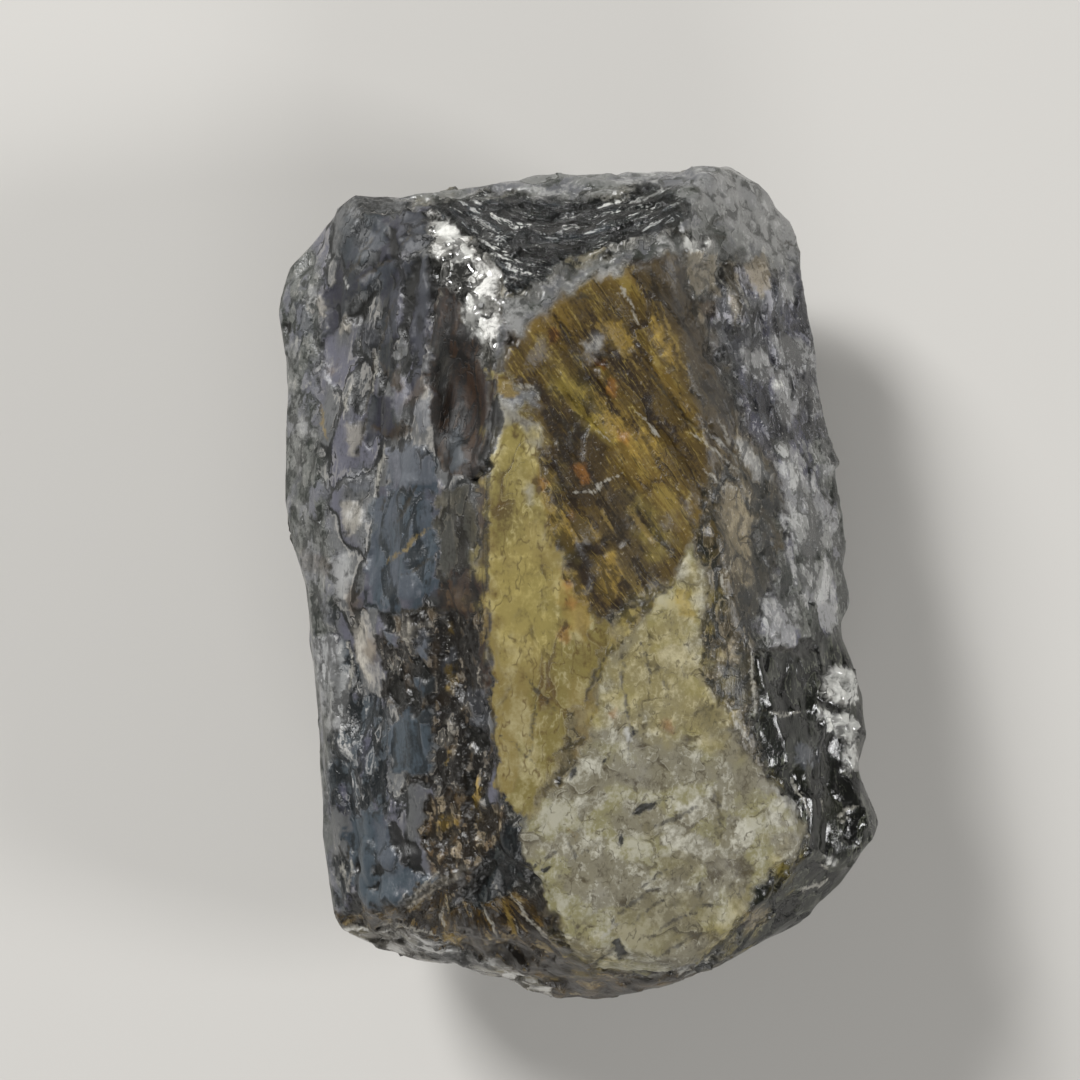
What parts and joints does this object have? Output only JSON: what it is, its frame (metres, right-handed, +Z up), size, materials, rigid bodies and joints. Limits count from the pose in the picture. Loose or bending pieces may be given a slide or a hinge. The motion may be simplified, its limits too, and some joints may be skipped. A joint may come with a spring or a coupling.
{
  "type": "iolite specimen",
  "caption": "Rough, broken prism of translucent iolite with a flat prism side, a see-through golden front and rippled, shell-shaped breaks, lying on its back.",
  "frame": {"origin": "the middle of the crystal's bounding box seen from above, at the height of the flat that it rests on", "axes": "+Z up, out of the broad front of the crystal; +Y along its length, towards the rippled top end; +X to the right as the front is seen, away from the flat prism side"},
  "size_m": [0.026, 0.036, 0.0166],
  "materials": {
    "iolite": "translucent to clear crystal with a glassy, uneven break; blue-grey prism side, honey-yellow and cream windows, brown and smoky patches"
  },
  "bodies": {
    "root": {"iolite_crystal": "iolite"}
  },
  "joints": []
}
